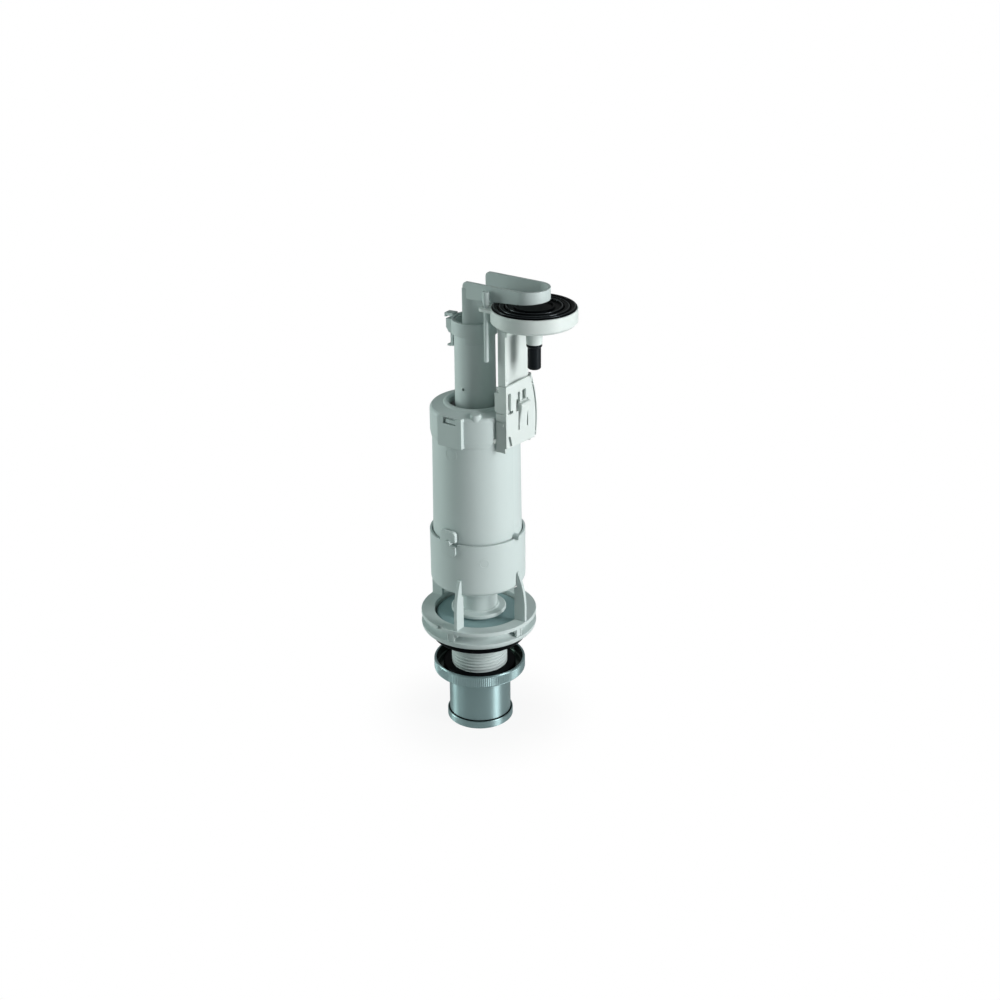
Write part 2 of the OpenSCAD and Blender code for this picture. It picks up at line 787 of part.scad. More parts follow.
// Float: inverted cup on the overflow tube
module float() {
    wall = 1.4;
    color(white_c) rotate_extrude() polygon([
        [tube_r_low + snug_gap, float_z], [tube_r_low + snug_gap + wall, float_z],
        [tube_r_low + snug_gap + wall, float_top - wall], [float_r - wall, float_top - wall],
        [float_r - wall, float_z], [float_r, float_z], [float_r, float_top - 2], [float_r - 2, float_top],
        [tube_r_low + snug_gap, float_top]
    ]);
}

// Split ring that holds the float down on its shoulder
module float_clip() {
    clip_t = 3;
    ring_w = 3.6;
    color(white_c) difference() {
        pipe(tube_r_low + snug_gap + ring_w, tube_r_low + snug_gap, float_top, float_top + clip_t);
        block(0, 2 * tube_r_low, -2, 2, float_top - over, float_top + clip_t + over);
    }
}

// Yoke: collar on the overflow tube, half-round leg and the U of the two arms
module yoke_band(grow) {
    flat(arm_x, yoke_x, -yoke_y + grow, yoke_y - grow);
    translate([yoke_x, 0]) circle(yoke_y - grow);
}

module lift_yoke() {
    corner = 4;
    leg_x = 0.5;
    leg_top = arm_low + 1.2;
    near_top = arm_top - 5.5;
    near_from = -45;
    leg_in = leg_r - yoke_t;
    slope = atan(arm_rise / (yoke_x + yoke_y - leg_r / 2));
    skirt_drop = 6;
    skirt_from = -80;
    skirt_to = -28;
    seam_h = 0.6;
    color(yoke_c) {
        pipe(collar_r, collar_in, collar_top - collar_h, collar_top);
        ring_sector(collar_r - edge, collar_in, collar_top - collar_h - skirt_drop, collar_top - collar_h + seam_h,
            skirt_from, skirt_to);
        intersection() {
            union() {
                pipe(collar_r - edge, leg_in, tube_top + snug_gap, collar_top);
                pipe(leg_r, leg_in, collar_top - seam_h, leg_top);
            }
            block(leg_x, 2 * leg_r, -2 * leg_r, 2 * leg_r, 0, leg_top);
        }
        intersection() {
            ring_sector(leg_r, leg_in, leg_top - over, near_top, -100, near_from);
            block(leg_x, 2 * leg_r, -2 * leg_r, 0, 0, near_top);
        }
        difference() {
            translate([0, 0, arm_low]) linear_extrude(arm_d) difference() {
                yoke_band(0);
                translate([-over, 0]) yoke_band(yoke_t);
                flat(0, arm_x + over, -yoke_y + yoke_t, yoke_y - yoke_t);
                translate([yoke_x, 0]) circle(yoke_y - yoke_t);
            }
            translate([leg_r / 2, 0, arm_low]) rotate([0, -slope, 0])
                block(-yoke_x, 2 * yoke_x, -2 * yoke_y, 2 * yoke_y, -arm_d, 0);
            along_y(-2 * yoke_y, 2 * yoke_y) difference() {
                flat(0, arm_x + corner, arm_top - corner, arm_top + over);
                translate([arm_x + corner, arm_top - corner]) circle(corner);
            }
        }
    }
}

// Stepped guide rod beside the near arm, with the web that joins it to the arm
module guide_rod() {
    web_t = 2;
    color(yoke_c) {
        translate([rod_x, -rod_y, rod_low]) cylinder(r1 = rod_thin_r - 0.3, r2 = rod_thin_r, h = 1);
        translate([rod_x, -rod_y, rod_low + 1]) cylinder(r = rod_thin_r, h = rod_step - rod_low);
        translate([rod_x, -rod_y, rod_step]) cylinder(r1 = rod_thin_r, r2 = rod_r, h = 1);
        translate([rod_x, -rod_y, rod_step + 1]) cylinder(r = rod_r, h = rod_top - rod_step - 1);
        block(rod_x - web_t / 2, rod_x + web_t / 2, -rod_y + rod_r / 2, -yoke_y, arm_tip_low, rod_top - 1);
    }
}

// Refill hose clip on the back of the collar
module refill_clip() {
    half_y = 5;
    back_x = 24.5;
    low_z = collar_top - collar_h - 3.4;
    high_z = collar_top - 3.6;
    wall_low = low_z - 11;
    hook_z = collar_top - 1.7;
    hook_x = -collar_r - 0.4;
    color(yoke_c) {
        difference() {
            along_y(-half_y, half_y) polygon([
                [-collar_r + 3, high_z], [-back_x, high_z], [-back_x, low_z + 4], [-back_x + 2.6, low_z],
                [-back_x + 4.2, low_z], [-back_x + 4.2, wall_low], [-collar_r + edge, wall_low],
                [-collar_r + 3, low_z]
            ]);
            translate([0, 0, wall_low - over]) cylinder(r = collar_r, h = collar_top - wall_low);
        }
        block(-back_x + 1, -back_x + 4.4, -half_y, half_y, wall_low - 0.4, wall_low + 1);
        block(hook_x - 2.6, hook_x, -2.6, 2.6, high_z - edge, hook_z + 2.6);
        along_y(-3.4, 3.4) polygon([
            [hook_x, hook_z], [hook_x, hook_z + 2.6], [-back_x - 2.4, hook_z + 2.2],
            [-back_x - 2.6, hook_z - 1.4], [-back_x - 1, hook_z - 1.2], [-back_x - 0.4, hook_z]
        ]);
    }
}

// Mast: channel that slides in the clip, with a head under the dish and a rack on one edge
module mast() {
    head_t = 4.6;
    head_out = 0.8;
    tab_d = 2.2;
    tab_w = 8;
    tab_h = 3.4;
    tab_z = 10.4;
    tooth = 1.1;
    color(white_c) {
        difference() {
            translate([0, 0, mast_low]) linear_extrude(dish_z - mast_low) difference() {
                flat(mast_back, mast_front, -mast_y, mast_y);
                circle(mast_in_r);
                translate([mast_front + trough_r - trough_d, 0]) circle(trough_r);
            }
            for (i = [0:rack_count - 1]) translate([0, mast_y, mast_low + 4 + i * rack_pitch])
                along_x(mast_front - 4, mast_front + over)
                    polygon([[over, -tooth], [-tooth, 0], [over, tooth]]);
        }
        difference() {
            block(mast_back - head_out, mast_front + head_out, -mast_y - head_out, mast_y + head_out,
                dish_z - head_t, dish_z);
            block(mast_in_r, mast_front + 2 * head_out, -trough_y, trough_y,
                dish_z - head_t - over, dish_z - head_t / 2);
        }
        block(mast_front - tab_d, mast_front + tab_d, -mast_y - head_out, tab_w - mast_y,
            dish_z - tab_z, dish_z - tab_z + tab_h);
    }
}

// Dish of the pneumatic actuator: shelf for the diaphragm, ear for the guide rod, boss with hose nipple
module actuator_dish() {
    bevel = 1;
    foot_bevel = 2;
    shelf_h = 3;
    boss_r = 7.35;
    boss_tip_r = 6.2;
    ear_gap = rod_thin_r + 0.35;
    color(white_c) difference() {
        union() {
            translate([dish_x, 0, 0]) rotate_extrude() polygon([
                [0, dish_z], [dish_r - foot_bevel, dish_z], [dish_r, dish_z + foot_bevel],
                [dish_r, dish_top - bevel / 2],
                [dish_r - bevel / 2, dish_top], [dish_in, dish_top], [dish_in, dish_z + dish_floor + shelf_h],
                [fold_r + slide_gap, dish_z + dish_floor + shelf_h], [fold_r + slide_gap, dish_z + dish_floor],
                [0, dish_z + dish_floor]
            ]);
            translate([dish_x, 0, boss_z]) cylinder(r1 = boss_tip_r, r2 = boss_r, h = boss_len + dish_floor / 2);
            translate([dish_x, 0, boss_z - nipple_len]) cylinder(r = hose_bore_r + 0.2, h = nipple_len + over);
            difference() {
                union() {
                    translate([rod_x, -rod_y, ear_top - ear_t]) cylinder(r = ear_r, h = ear_t);
                    translate([rod_x, -rod_y - ear_r, ear_top - ear_t])
                        cube([dish_x - rod_x - dish_r / 2, 2 * ear_r, ear_t]);
                }
                translate([dish_x, 0, dish_z]) cylinder(r = dish_r - dish_wall / 2, h = dish_h);
            }
        }
        translate([rod_x, -rod_y, dish_z]) cylinder(r = ear_gap, h = dish_h + over);
        translate([dish_x, 0, hose_z]) cylinder(r = air_r, h = dish_z - hose_z + dish_floor + over);
    }
}

// Clamped outer part of the rubber diaphragm, with its bead over the dish's rim
module diaphragm_rim() {
    shelf_z = dish_z + dish_floor + 3;
    inner_r = fold_r + slide_gap;
    color(black_c) translate([dish_x, 0, 0]) rotate_extrude() polygon(concat(
        [
            [inner_r, shelf_z], [dish_in - snug_gap, shelf_z], [dish_in - snug_gap, dish_top],
            [dish_r - edge, dish_top]
        ],
        arc(dish_r - edge - 1.2, dish_top, 1.2, 0, 90, 4),
        [[inner_r + 1.2, dish_top + edge], [inner_r, dish_top + edge / 4]]
    ));
}

// Middle fold of the diaphragm: rises half as far as the crown
module diaphragm_fold() {
    inner_r = crown_r + slide_gap;
    color(black_c) translate([dish_x, 0, 0]) rotate_extrude() polygon([
        [inner_r, skirt_z], [inner_r + skin_t, skirt_z], [inner_r + skin_t, dish_top - skin_t],
        [fold_r - skin_t, dish_top - skin_t], [fold_r - skin_t, skirt_z], [fold_r, skirt_z],
        [fold_r, dish_top], [fold_r - edge, dish_top + edge], [inner_r + edge, dish_top + edge], [inner_r, dish_top]
    ]);
}

// Crown of the diaphragm, with two raised rings, that lifts the yoke
module diaphragm_crown() {
    bead_r = 15.3;
    bead = 0.9;
    web_z = dish_top + 0.2;
    color(black_c) translate([dish_x, 0, 0]) rotate_extrude() polygon(concat(
        [
            [0, web_z - skin_t], [crown_r - skin_t, web_z - skin_t], [crown_r - skin_t, skirt_z],
            [crown_r, skirt_z], [crown_r, crown_top - bead]
        ],
        arc(crown_r - bead, crown_top - bead, bead, 0, 180, 6),
        [[crown_r - 2 * bead, web_z], [bead_r + bead, web_z]],
        arc(bead_r, crown_top - bead, bead, 0, 180, 6),
        [[bead_r - bead, web_z], [0, web_z]]
    ));
}

// Rubber sleeve that joins the air hose to the boss
module hose_sleeve() {
    flare = 2;
    nipple_r = hose_bore_r + 0.2;
    color(black_c) translate([dish_x, 0, 0]) rotate_extrude() polygon([
        [hose_bore_r, hose_z], [hose_r - edge, hose_z], [hose_r, hose_z + edge], [hose_r, boss_z - flare - 1],
        [hose_top_r, boss_z - flare], [hose_top_r, boss_z], [nipple_r + snug_gap / 2, boss_z],
        [nipple_r + snug_gap / 2, boss_z - nipple_len], [hose_bore_r, boss_z - nipple_len]
    ]);
}

// Cup nut: plated cup that clamps the cistern floor from below
module cup_nut() {
    color(chrome_c) rotate_extrude() polygon([
        [tail_r + run_gap, cup_low], [cup_r - edge, cup_low], [cup_r, cup_low + edge], [cup_r, cup_top - edge / 2],
        [cup_r - edge / 2, cup_top], [cup_r - cup_wall, cup_top], [cup_r - cup_wall, cup_floor + edge],
        [cup_r - cup_wall - edge, cup_floor], [tail_r + run_gap, cup_floor]
    ]);
}

// Threaded insert in the cup nut, over the tail pipe's flange
module nut_insert() {
    insert_r = tail_flange_r + 2.4;
    crest_r = spigot_r + snug_gap / 2;
    color(black_c) rotate_extrude() polygon([
        [crest_r, insert_low], [tail_flange_r + run_gap, insert_low], [tail_flange_r + run_gap, cup_floor],
        [insert_r, cup_floor], [insert_r, insert_low + insert_h - edge], [insert_r - edge, insert_low + insert_h],
        [crest_r, insert_low + insert_h]
    ]);
}

// Tail pipe: swivels in the cup nut on its flange, with a stop for the flush pipe
module tail_pipe() {
    stop_r = tail_in - 0.6;
    color(chrome_c) rotate_extrude() polygon([
        [tail_in, tail_low], [tail_r, tail_low], [tail_r, tail_flange_z], [tail_flange_r, tail_flange_z],
        [tail_flange_r, tail_flange_z + tail_flange_t], [stop_r, tail_flange_z + tail_flange_t],
        [stop_r, tail_low + tail_depth], [tail_in, tail_low + tail_depth]
    ]);
}

// End ring pressed on the tail pipe, with a groove for the lip seal
module end_ring() {
    color(chrome_c) rotate_extrude() polygon([
        [tail_r, tail_low], [end_r - edge, tail_low], [end_r, tail_low + edge],
        [end_r, tail_low + end_h - edge / 2],
        [end_r - edge / 2, tail_low + end_h], [end_r - edge, tail_low + end_h],
        [end_r - edge, tail_low + end_h - lip_seal_h], [tail_r, tail_low + end_h - lip_seal_h]
    ]);
}

module outlet_seal() {
    bottom = tail_low + end_h - lip_seal_h;
    color(black_c) rotate_extrude() polygon([
        [tail_r, bottom], [end_r - edge, bottom], [end_r - edge, bottom + lip_seal_h - edge],
        [tail_r, bottom + lip_seal_h + edge]
    ]);
}

base_seat();
spigot();
base_gasket();
fin_ring();
lower_sleeve();
body_cylinder();
top_cap();
clip_bracket();
height_latch();
overflow_tube();
seal_carrier();
flush_seal();
seal_retainer();
float();
float_clip();
lift_yoke();
guide_rod();
refill_clip();
mast();
actuator_dish();
diaphragm_rim();
diaphragm_fold();
diaphragm_crown();
hose_sleeve();
cup_nut();
nut_insert();
tail_pipe();
end_ring();
outlet_seal();
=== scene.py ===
"""Toilet flush valve: finishes, moulded and cut detail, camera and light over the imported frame."""
import json
import logging
import math
from dataclasses import dataclass, replace
from enum import Enum
from typing import Iterable

import bmesh
import bpy
from mathutils import Matrix, Quaternion, Vector


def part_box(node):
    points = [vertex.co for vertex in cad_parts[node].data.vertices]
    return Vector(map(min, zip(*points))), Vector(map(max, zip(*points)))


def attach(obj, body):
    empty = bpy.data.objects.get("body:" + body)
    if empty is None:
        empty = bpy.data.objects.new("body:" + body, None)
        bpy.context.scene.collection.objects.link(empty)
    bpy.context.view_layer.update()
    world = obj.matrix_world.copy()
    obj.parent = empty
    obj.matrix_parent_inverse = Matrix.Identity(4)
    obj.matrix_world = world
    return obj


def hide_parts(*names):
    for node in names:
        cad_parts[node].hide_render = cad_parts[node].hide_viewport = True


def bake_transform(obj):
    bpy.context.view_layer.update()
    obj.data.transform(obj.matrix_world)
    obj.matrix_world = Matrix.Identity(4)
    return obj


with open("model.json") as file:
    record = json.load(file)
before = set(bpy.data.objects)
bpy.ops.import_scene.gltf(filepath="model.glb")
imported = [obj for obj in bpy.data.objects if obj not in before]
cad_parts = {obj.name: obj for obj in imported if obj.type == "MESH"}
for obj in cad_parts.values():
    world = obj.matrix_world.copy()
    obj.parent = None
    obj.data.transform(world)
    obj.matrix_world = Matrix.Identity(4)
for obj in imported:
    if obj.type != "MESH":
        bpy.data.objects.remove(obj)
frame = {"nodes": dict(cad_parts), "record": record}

LOG = logging.getLogger("flush_valve")
MM = 0.001  # one millimetre in metres; the classes give their sizes in millimetres
MIRRORED = 0.2  # share of the white background that glossy surfaces show
FINE_ROUNDING = 0.0001  # radius in metres of the soft edges on small detail
ROUNDING_SAMPLES = 4
TOUCH = 1e-7  # metres within which two places count as one
NOISE_LOW, NOISE_HIGH = 0.3, 0.7  # where the middle range of a noise starts and ends
CENTRE, AXIS = (0.0, 0.0, 0.0), (0.0, 0.0, 1.0)  # the valve's axis
Colour = tuple[float, float, float]


class Slot(Enum):
    """Material slots of the record."""

    SHELL = "shell_plastic"
    WHITE = "white_plastic"
    YOKE = "yoke_plastic"
    SEAL = "seal_rubber"
    RUBBER = "black_rubber"
    PLATED = "plated_metal"


class NodeSheet:
    """Small helper that lays out one material's node tree."""

    def __init__(self, name: str) -> None:
        """Start an empty material with a Principled shader.

        Args:
            name: Name of the material.
        """
        self.material = bpy.data.materials.new(name)
        self.material.use_nodes = True
        self.tree = self.material.node_tree
        self.tree.nodes.clear()
        self.output = self.add("ShaderNodeOutputMaterial")
        self.shader = self.add("ShaderNodeBsdfPrincipled")
        self.link(self.shader, "BSDF", self.output, "Surface")
        self.coords = self.add("ShaderNodeTexCoord")

    def add(self, kind: str) -> bpy.types.Node:
        """Add a node of that kind and return it."""
        return self.tree.nodes.new(kind)

    def link(self, source: bpy.types.Node, out: str, target: bpy.types.Node, into: str) -> None:
        """Link one node's output to another node's input."""
        self.tree.links.new(source.outputs[out], target.inputs[into])

    def noise(self, scale: float, detail: float, stretch: Colour = (1.0, 1.0, 1.0)) -> bpy.types.Node:
        """Noise on Object coordinates.

        Args:
            scale: Noise scale per metre.
            detail: Octaves of detail.
            stretch: Scale of the coordinates on each axis.

        Returns:
            The noise node.
        """
        mapping = self.add("ShaderNodeMapping")
        mapping.inputs["Scale"].default_value = stretch
        self.link(self.coords, "Object", mapping, "Vector")
        noise = self.add("ShaderNodeTexNoise")
        noise.inputs["Scale"].default_value = scale
        noise.inputs["Detail"].default_value = detail
        self.link(mapping, "Vector", noise, "Vector")
        return noise

    def spread(self, source: bpy.types.Node, low: float, high: float) -> bpy.types.Node:
        """Map a noise's middle range to low and high.

        Args:
            source: Node with a Fac output.
            low: Result at the dark end.
            high: Result at the bright end.

        Returns:
            The map range node.
        """
        ranged = self.add("ShaderNodeMapRange")
        ranged.inputs["From Min"].default_value = NOISE_LOW
        ranged.inputs["From Max"].default_value = NOISE_HIGH
        ranged.inputs["To Min"].default_value = low
        ranged.inputs["To Max"].default_value = high
        self.link(source, "Fac", ranged, "Value")
        return ranged

    def two_tone(self, source: bpy.types.Node, dark: Colour, light: Colour) -> None:
        """Blend two close colours by a noise into the base colour.

        Args:
            source: Node with a Fac output.
            dark: Colour at the noise's low end.
            light: Colour at the noise's high end.
        """
        ramp = self.add("ShaderNodeValToRGB")
        ramp.color_ramp.elements[0].position = NOISE_LOW
        ramp.color_ramp.elements[1].position = NOISE_HIGH
        ramp.color_ramp.elements[0].color = (*dark, 1.0)
        ramp.color_ramp.elements[1].color = (*light, 1.0)
        self.link(source, "Fac", ramp, "Fac")
        self.link(ramp, "Color", self.shader, "Base Color")

    def bump(self, source: bpy.types.Node, strength: float, depth: float, rounding: float) -> None:
        """Add a bump from a noise, over edges that are softly rounded.

        Args:
            source: Node with a Fac output.
            strength: Bump strength.
            depth: Bump height in metres.
            rounding: Radius of the rounded edges in metres.
        """
        soft = self.add("ShaderNodeBevel")
        soft.samples = ROUNDING_SAMPLES
        soft.inputs["Radius"].default_value = rounding
        node = self.add("ShaderNodeBump")
        node.inputs["Strength"].default_value = strength
        node.inputs["Distance"].default_value = depth
        self.link(source, "Fac", node, "Height")
        self.link(soft, "Normal", node, "Normal")
        self.link(node, "Normal", self.shader, "Normal")


@dataclass(frozen=True)
class MouldedPlastic:
    """Injection-moulded plastic with a faint flow tone and a fine satin grain."""

    name: str
    colour: Colour
    tone: float
    gloss_low: float
    gloss_high: float
    grain: float
    glow: float
    shine: float
    rounding: float = 0.0005
    flow_scale: float = 22.0
    flow_stretch: Colour = (1.0, 1.0, 0.35)
    skin_scale: float = 160.0
    grain_scale: float = 2600.0
    grain_depth: float = 0.00003
    index: float = 1.5
    glow_tint: Colour = (1.0, 1.0, 0.9)
    glow_reach: float = 0.0015

    def material(self) -> bpy.types.Material:
        """Build the node material.

        Returns:
            The material.
        """
        sheet = NodeSheet(self.name)
        flow = sheet.noise(self.flow_scale, detail=3.0, stretch=self.flow_stretch)
        light = tuple(min(1.0, c * (1.0 + self.tone)) for c in self.colour)
        dark = tuple(c * (1.0 - self.tone) for c in self.colour)
        sheet.two_tone(flow, dark, light)
        skin = sheet.noise(self.skin_scale, detail=2.0)
        sheet.link(sheet.spread(skin, self.gloss_low, self.gloss_high), "Result", sheet.shader, "Roughness")
        sheet.bump(sheet.noise(self.grain_scale, detail=2.0), self.grain, self.grain_depth, self.rounding)
        sheet.shader.inputs["IOR"].default_value = self.index
        sheet.shader.inputs["Specular IOR Level"].default_value = self.shine
        sheet.shader.inputs["Subsurface Weight"].default_value = self.glow
        sheet.shader.inputs["Subsurface Radius"].default_value = self.glow_tint
        sheet.shader.inputs["Subsurface Scale"].default_value = self.glow_reach
        return sheet.material


@dataclass(frozen=True)
class MouldedRubber:
    """Moulded rubber with a dry bloom on its surface."""

    name: str
    colour: Colour
    bloom: Colour
    rough_low: float
    rough_high: float
    sheen: float
    rounding: float = 0.0004
    bloom_scale: float = 90.0
    skin_scale: float = 420.0
    grain_scale: float = 1800.0
    grain: float = 0.2
    grain_depth: float = 0.00004
    index: float = 1.48
    sheen_tint: Colour = (0.82, 0.92, 1.0)

    def material(self) -> bpy.types.Material:
        """Build the node material.

        Returns:
            The material.
        """
        sheet = NodeSheet(self.name)
        sheet.two_tone(sheet.noise(self.bloom_scale, detail=5.0), self.colour, self.bloom)
        skin = sheet.noise(self.skin_scale, detail=3.0)
        sheet.link(sheet.spread(skin, self.rough_low, self.rough_high), "Result", sheet.shader, "Roughness")
        sheet.bump(sheet.noise(self.grain_scale, detail=3.0), self.grain, self.grain_depth, self.rounding)
        sheet.shader.inputs["IOR"].default_value = self.index
        sheet.shader.inputs["Specular IOR Level"].default_value = self.sheen
        sheet.shader.inputs["Specular Tint"].default_value = (*self.sheen_tint, 1.0)
        return sheet.material


@dataclass(frozen=True)
class PlatedMetal:
    """Plated metal, turned fine round the axis, so that its highlights run up and down."""

    name: str
    dark: Colour
    light: Colour
    rough_low: float
    rough_high: float
    metal: float
    turned: float
    rounding: float = 0.0003
    tone_scale: float = 45.0
    wear_scale: float = 70.0
    wear: float = 0.01
    wear_depth: float = 0.00002
    quarter_turn: float = 0.25

    def material(self) -> bpy.types.Material:
        """Build the node material.

        Returns:
            The material.
        """
        sheet = NodeSheet(self.name)
        sheet.two_tone(sheet.noise(self.tone_scale, detail=2.0), self.dark, self.light)
        wear = sheet.noise(self.wear_scale, detail=2.0)
        sheet.link(sheet.spread(wear, self.rough_low, self.rough_high), "Result", sheet.shader, "Roughness")
        sheet.bump(wear, self.wear, self.wear_depth, self.rounding)
        around = sheet.add("ShaderNodeTangent")
        around.direction_type, around.axis = "RADIAL", "Z"
        sheet.link(around, "Tangent", sheet.shader, "Tangent")
        sheet.shader.inputs["Anisotropic"].default_value = self.turned
        sheet.shader.inputs["Anisotropic Rotation"].default_value = self.quarter_turn
        sheet.shader.inputs["Metallic"].default_value = self.metal
        return sheet.material


FINISHES = {
    Slot.SHELL: MouldedPlastic(
        "shell_plastic", colour=(0.58, 0.66, 0.65), tone=0.02, gloss_low=0.38, gloss_high=0.46, grain=0.1, glow=0.06,
        shine=0.3,
    ),
    Slot.WHITE: MouldedPlastic(
        "white_plastic", colour=(0.66, 0.72, 0.70), tone=0.015, gloss_low=0.32, gloss_high=0.40, grain=0.08, glow=0.08,
        shine=0.3,
    ),
    Slot.YOKE: MouldedPlastic(
        "yoke_plastic", colour=(0.55, 0.63, 0.62), tone=0.02, gloss_low=0.40, gloss_high=0.48, grain=0.1, glow=0.06,
        shine=0.3,
    ),
    Slot.SEAL: MouldedRubber(
        "seal_rubber", colour=(0.25, 0.375, 0.385), bloom=(0.27, 0.40, 0.41), rough_low=0.45, rough_high=0.56,
        sheen=0.25,
    ),
    Slot.RUBBER: MouldedRubber(
        "black_rubber", colour=(0.001, 0.0015, 0.002), bloom=(0.002, 0.0025, 0.003), rough_low=0.28, rough_high=0.36,
        sheen=0.035,
    ),
    Slot.PLATED: PlatedMetal(
        "plated_metal", dark=(0.31, 0.43, 0.44), light=(0.325, 0.45, 0.46), rough_low=0.41, rough_high=0.45,
        metal=0.85, turned=0.88,
    ),
}
# Lighter, shinier copy of the black rubber for the hose sleeve: painted light, so the hose reads lighter than the
# diaphragm and the gasket.
HOSE_LIT = MouldedRubber(
    "hose_rubber_lit", colour=(0.004, 0.006, 0.007), bloom=(0.008, 0.010, 0.012), rough_low=0.28, rough_high=0.36,
    sheen=0.14,
)
# Lighter, shinier copy of the black rubber for the diaphragm's rings: its lighter colour is a painted highlight, and
# its high sheen catches the lamps.
RIDGE_HIGHLIGHT = MouldedRubber(
    "ridge_rubber_highlight", colour=(0.006, 0.007, 0.008), bloom=(0.010, 0.011, 0.012), rough_low=0.2, rough_high=0.28,
    sheen=0.6, rounding=FINE_ROUNDING,
)
# Near-black plated copy for the cup nut's inside: painted shade, where the real inside only lies in shadow.
CUP_SHADE = PlatedMetal(
    "cup_inside_painted_shade", dark=(0.030, 0.046, 0.040), light=(0.036, 0.054, 0.046), rough_low=0.16, rough_high=0.20,
    metal=0.95, turned=0.8,
)


class Workshop:
    """Makes the finishes once and dresses CAD nodes and new pieces with them."""

    def __init__(self) -> None:
        """Build every finish's material."""
        self.materials = {slot: finish.material() for slot, finish in FINISHES.items()}
        self.fine = {
            slot: replace(finish, name=f"{finish.name}_fine", rounding=FINE_ROUNDING).material()
            for slot, finish in FINISHES.items()
        }
        # near-black finish of the cup's inside: painted shade
        self.inside = CUP_SHADE.material()
        # rubber of the rings, lighter than the diaphragm: painted highlight
        self.ridge = RIDGE_HIGHLIGHT.material()
        # the hose sleeve's lighter rubber is painted light
        self.own = {"hose_sleeve": HOSE_LIT.material()}

    def dress_frame(self) -> None:
        """Give every CAD node the material of its record slot, or one of its own."""
        for entry in frame["record"]["subparts"]:
            node = frame["nodes"][entry["node"]]
            node.data.materials.clear()
            usual = self.materials[Slot(entry["material_slot"])]
            node.data.materials.append(self.own.get(entry["node"], usual))
            LOG.info("dressed %s", entry["node"])

    def piece(
        self, mesh: bmesh.types.BMesh, name: str, slot: Slot, body: str, smooth: float = 35.0,
    ) -> bpy.types.Object:
        """Turn a bmesh into a finished piece that rides on a body.

        Args:
            mesh: The bmesh, in metres in the shared frame; it is freed.
            name: Name of the piece.
            slot: Record slot whose finish it takes.
            body: Body that it rides on, or nothing for a piece that rides on no body.
            smooth: Angle in degrees over which an edge stays sharp.

        Returns:
            The new object.
        """
        data = bpy.data.meshes.new(name)
        for face in mesh.faces:
            face.smooth = True
        limit = math.radians(smooth)
        for edge in mesh.edges:
            edge.smooth = len(edge.link_faces) == 2 and edge.calc_face_angle(0.0) < limit
        mesh.to_mesh(data)
        mesh.free()
        obj = bpy.data.objects.new(name, data)
        bpy.context.scene.collection.objects.link(obj)
        data.materials.append(self.fine[slot])
        if body:
            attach(obj, body)
        LOG.info("piece %s rides on %s", name, body or "two bodies")
        return obj


def loop_of(mesh: bmesh.types.BMesh, points: Iterable[tuple[float, float]]) -> list[bmesh.types.BMEdge]:
    """Draw a closed profile in the XZ plane.

    Args:
        mesh: The bmesh to draw in.
        points: Radius and height of each corner, in millimetres.

    Returns:
        The edges of the profile.
    """
    verts = [mesh.verts.new((r * MM, 0.0, z * MM)) for r, z in points]
    return [mesh.edges.new((a, b)) for a, b in zip(verts, verts[1:] + verts[:1])]


def turned(mesh: bmesh.types.BMesh, points: Iterable[tuple[float, float]], steps: int = 128) -> None:
    """Turn a closed profile once round the valve's axis.

    Args:
        mesh: The bmesh to draw in.
        points: Radius and height of each corner, in millimetres.
        steps: Facets round the axis.
    """
    bmesh.ops.spin(
        mesh, geom=loop_of(mesh, points), cent=CENTRE, axis=AXIS, angle=math.tau, steps=steps, use_merge=True,
    )
    bmesh.ops.recalc_face_normals(mesh, faces=mesh.faces[:])


@dataclass
class SpigotThread:
    """Coarse moulded thread on the spigot, right-handed."""

    root_r: float = 23.0
    crest_r: float = 23.9
    pitch: float = 3.0
    low: float = -31.7
    high: float = -0.5
    half_share: float = 0.42
    buried: float = 0.3
    facets: int = 8
    steps: int = 72

    def build(self, shop: Workshop) -> None:
        """Sweep the thread's ridge up the spigot.

        Args:
            shop: Gives the finish.
        """
        mesh = bmesh.new()
        half, rise = self.half_share * self.pitch, self.crest_r - self.root_r
        ridge = [(self.root_r + rise * math.sin(a), self.low + half - half * math.cos(a))
                 for a in (math.pi * i / self.facets for i in range(1, self.facets))]
        profile = loop_of(mesh, [
            (self.root_r - self.buried, self.low), (self.root_r, self.low), *ridge,
            (self.root_r, self.low + 2 * half), (self.root_r - self.buried, self.low + 2 * half),
        ])
        turns = (self.high - self.low - 2 * half) / self.pitch
        count = int(turns * self.steps)
        bmesh.ops.spin(
            mesh, geom=profile, cent=CENTRE, axis=AXIS, dvec=(0.0, 0.0, self.pitch * MM / self.steps),
            angle=math.tau * turns, steps=count, use_merge=False,
        )
        ends = [edge for edge in mesh.edges if len(edge.link_faces) == 1]
        bmesh.ops.holes_fill(mesh, edges=ends, sides=len(profile))
        bmesh.ops.recalc_face_normals(mesh, faces=mesh.faces[:])
        shop.piece(mesh, "spigot_thread", Slot.SHELL, "seat")


